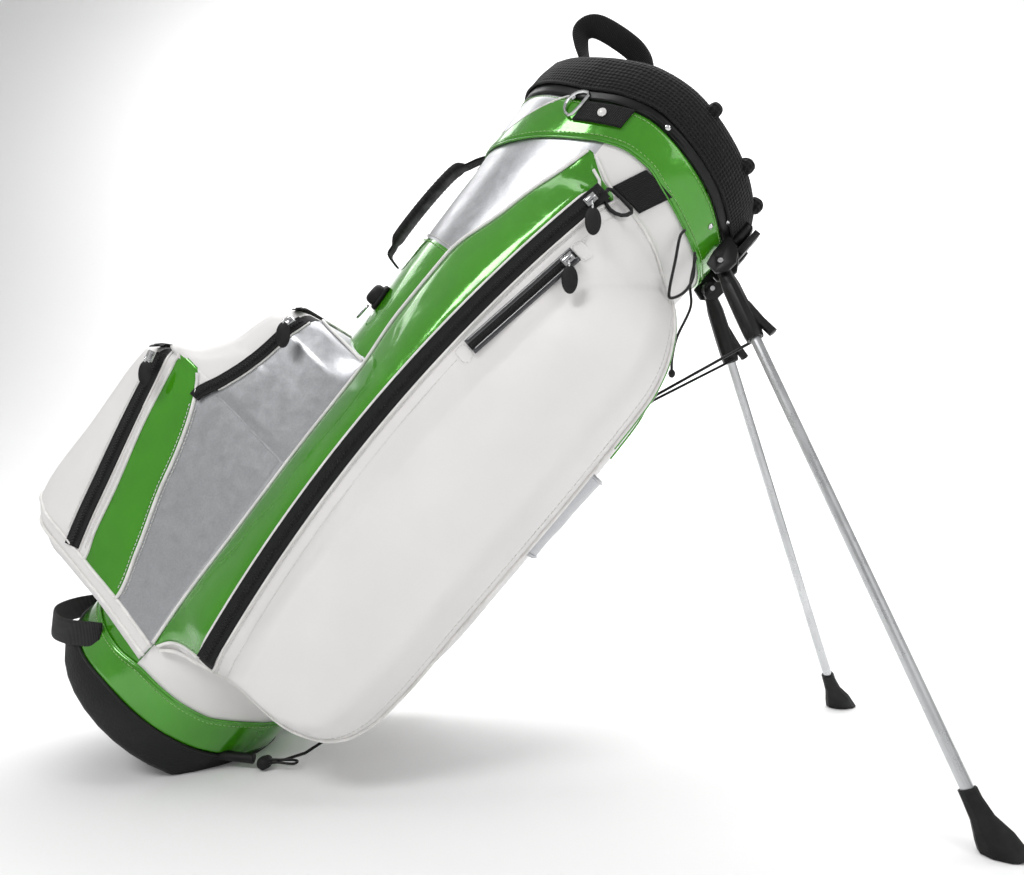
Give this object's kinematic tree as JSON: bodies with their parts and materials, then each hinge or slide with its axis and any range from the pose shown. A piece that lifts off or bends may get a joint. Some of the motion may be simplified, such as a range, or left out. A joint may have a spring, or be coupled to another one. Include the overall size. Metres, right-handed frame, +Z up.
{
  "type": "golf stand bag",
  "caption": "Golf stand bag leaning on its base and two opened folding legs, with zipped pockets, carry handle and divided mouth.",
  "frame": {"origin": "on the ground, at the middle of the flat that the base stands on", "axes": "+X from the base towards the feet of the legs, +Y towards the far side pocket, +Z up; the bag leans in the XZ plane"},
  "size_m": [0.9599, 0.414, 0.8405],
  "materials": {
    "white_leatherette": "fine pebbled leatherette, satin",
    "green_patent": "high-gloss patent leatherette",
    "silver_leatherette": "smooth metallic leatherette",
    "black_mould": "moulded, fine fabric-like texture",
    "black_rim": "satin moulded rim",
    "mesh_pad": "padded spacer mesh",
    "webbing": "woven nylon webbing",
    "zip_tape": "coil zip",
    "liner": "woven lining cloth",
    "bar_foam": "foam-padded cloth",
    "ribbed_grip": "ribbed soft grip",
    "rubber": "moulded rubber",
    "chrome": "polished",
    "aluminium": "drawn, satin anodised",
    "wire_black": "black coated spring wire",
    "nylon": "injection moulded nylon",
    "stay_plastic": "extruded stay",
    "cord": "braided elastic cord"
  },
  "bodies": {
    "bag": {"body_shell": "white_leatherette", "side_pocket_near": "white_leatherette", "side_pocket_far": "white_leatherette", "valuables_pocket": "white_leatherette", "ball_pocket": "silver_leatherette", "hip_pad": "silver_leatherette", "base_band": "green_patent", "collar_band": "green_patent", "base_shell": "black_mould", "top_rim": "black_rim", "cuff_pad": "mesh_pad", "divider_panels": "liner", "divider_bars": "bar_foam", "lift_handle": "ribbed_grip", "stay_rod_near": "stay_plastic", "stay_rod_far": "stay_plastic", "stay_rod_spine": "stay_plastic", "main_zip_tape_near": "zip_tape", "main_zip_tape_far": "zip_tape", "small_zip_tape_near": "zip_tape", "ball_zip_tape": "zip_tape", "valuables_zip_tape": "zip_tape", "leg_pin_near": "chrome", "leg_pin_far": "chrome", "haul_loop": "webbing", "collar_strap_tab": "webbing", "side_strap_tab": "webbing", "rod_guide": "webbing", "carry_anchor_top": "nylon", "carry_anchor_bottom": "nylon", "spine_strap_tab": "nylon", "leg_bracket_near": "nylon", "leg_bracket_far": "nylon", "cord_loop": "cord"},
    "leg_near": {"leg_sleeve_near": "nylon", "leg_tube_near": "aluminium", "leg_foot_near": "rubber"},
    "leg_far": {"leg_sleeve_far": "nylon", "leg_tube_far": "aluminium", "leg_foot_far": "rubber"},
    "actuator": {"actuator_rods": "wire_black", "actuator_coupler": "nylon", "trigger_foot_near": "nylon", "trigger_foot_far": "nylon"},
    "wire_near": {"leg_wire_near": "wire_black"},
    "wire_far": {"leg_wire_far": "wire_black"},
    "main_zip_near": {"main_zip_slider_near": "chrome"},
    "main_pull_near": {"main_zip_pull_near": "rubber"},
    "main_zip_far": {"main_zip_slider_far": "chrome"},
    "main_pull_far": {"main_zip_pull_far": "rubber"},
    "small_zip": {"small_zip_slider": "chrome"},
    "small_pull": {"small_zip_pull": "rubber"},
    "ball_zip": {"ball_zip_slider": "chrome"},
    "ball_pull": {"ball_zip_pull": "rubber"},
    "valuables_zip": {"valuables_zip_slider": "chrome"},
    "valuables_pull": {"valuables_zip_pull": "rubber"},
    "collar_ring_loop": {"collar_ring": "chrome"},
    "side_ring_loop": {"side_ring": "nylon"},
    "spine_ring_loop": {"spine_ring": "chrome"},
    "carry_grip": {"carry_handle": "webbing"}
  },
  "joints": [
    {"name": "leg_near_fold", "type": "hinge", "parent": "bag", "child": "leg_near", "pos_m": [0.55711, -0.045, 0.5239], "axis": [-0.2125, -0.9567, 0.1989], "range_deg": [-61.85, 0]},
    {"name": "leg_far_fold", "type": "hinge", "parent": "bag", "child": "leg_far", "pos_m": [0.55711, 0.045, 0.5239], "axis": [0.2125, -0.9567, -0.1989], "range_deg": [-61.86, 0.01]},
    {"name": "actuator_slide", "type": "slide", "parent": "bag", "child": "actuator", "axis": [0.6834, 0, 0.73], "range_m": [-0.0562, 0.0002]},
    {"name": "wire_near_swing", "type": "hinge", "parent": "actuator", "child": "wire_near", "pos_m": [0.43497, -0.01, 0.351], "axis": [0.3327, 0.9385, -0.0925], "range_deg": [-25.07, 0.1]},
    {"name": "wire_far_swing", "type": "hinge", "parent": "actuator", "child": "wire_far", "pos_m": [0.43497, 0.01, 0.351], "axis": [-0.3327, 0.9385, 0.0925], "range_deg": [-25.07, 0.1]},
    {"name": "main_zip_near_run", "type": "hinge", "parent": "bag", "child": "main_zip_near", "pos_m": [1.38077, -0.14961, -0.65131], "axis": [0.0154, -0.9997, 0.0164], "range_deg": [0, 20.16]},
    {"name": "main_pull_near_swing", "type": "hinge", "parent": "main_zip_near", "child": "main_pull_near", "pos_m": [0.42073, -0.14931, 0.56432], "axis": [0, -1, 0], "range_deg": [-25, 25], "stiffness_Nm_per_rad": 0.01},
    {"name": "main_zip_far_run", "type": "hinge", "parent": "bag", "child": "main_zip_far", "pos_m": [1.38077, 0.14961, -0.65131], "axis": [-0.0154, -0.9997, -0.0164], "range_deg": [0, 20.16]},
    {"name": "main_pull_far_swing", "type": "hinge", "parent": "main_zip_far", "child": "main_pull_far", "pos_m": [0.42073, 0.14931, 0.56432], "axis": [0, -1, 0], "range_deg": [-25, 25], "stiffness_Nm_per_rad": 0.01},
    {"name": "small_zip_run", "type": "slide", "parent": "bag", "child": "small_zip", "axis": [0.7605, 0.0328, 0.6485], "range_m": [-0.11, 0]},
    {"name": "small_pull_swing", "type": "hinge", "parent": "small_zip", "child": "small_pull", "pos_m": [0.39777, -0.14883, 0.50594], "axis": [0, -1, 0], "range_deg": [-25, 25], "stiffness_Nm_per_rad": 0.01},
    {"name": "ball_zip_run", "type": "slide", "parent": "bag", "child": "ball_zip", "axis": [0.3794, 0.0382, 0.9244], "range_m": [-0.16, 0]},
    {"name": "ball_pull_swing", "type": "hinge", "parent": "ball_zip", "child": "ball_pull", "pos_m": [-0.05773, -0.09374, 0.44063], "axis": [-0.1153, -0.9874, 0.108], "range_deg": [-20, 20], "stiffness_Nm_per_rad": 0.01},
    {"name": "valuables_zip_run", "type": "slide", "parent": "bag", "child": "valuables_zip", "axis": [0.827, 0.0239, 0.5617], "range_m": [-0.06, 0]},
    {"name": "valuables_pull_swing", "type": "hinge", "parent": "valuables_zip", "child": "valuables_pull", "pos_m": [0.09829, -0.09355, 0.4729], "axis": [-0.1759, -0.9397, 0.2934], "range_deg": [-12, 12], "stiffness_Nm_per_rad": 0.01},
    {"name": "collar_ring_swing", "type": "hinge", "parent": "bag", "child": "collar_ring_loop", "pos_m": [0.41305, -0.12318, 0.67151], "axis": [0.6834, 0, 0.73], "range_deg": [0, 70], "stiffness_Nm_per_rad": 0.01},
    {"name": "side_ring_swing", "type": "hinge", "parent": "bag", "child": "side_ring_loop", "pos_m": [0.45086, -0.12751, 0.57025], "axis": [-0.6973, -0.2963, 0.6527], "range_deg": [0, 60], "stiffness_Nm_per_rad": 0.01},
    {"name": "spine_ring_swing", "type": "hinge", "parent": "bag", "child": "spine_ring_loop", "pos_m": [0.16953, -0.04835, 0.49813], "axis": [-0.2977, 0.9131, 0.2787], "range_deg": [0, 60], "stiffness_Nm_per_rad": 0.01},
    {"name": "carry_grip_flop", "type": "hinge", "parent": "bag", "child": "carry_grip", "pos_m": [0.28246, 0, 0.66363], "axis": [0.6834, 0, 0.73], "range_deg": [-15, 15], "stiffness_Nm_per_rad": 0.5}
  ],
  "couplings": [
    {"joint": "leg_far_fold", "follows": "leg_near_fold", "ratio": 1},
    {"joint": "actuator_slide", "follows": "leg_near_fold", "m_per_rad": 0.051879},
    {"joint": "wire_near_swing", "follows": "leg_near_fold", "ratio": 0.40373},
    {"joint": "wire_far_swing", "follows": "leg_near_fold", "ratio": 0.40373}
  ]
}
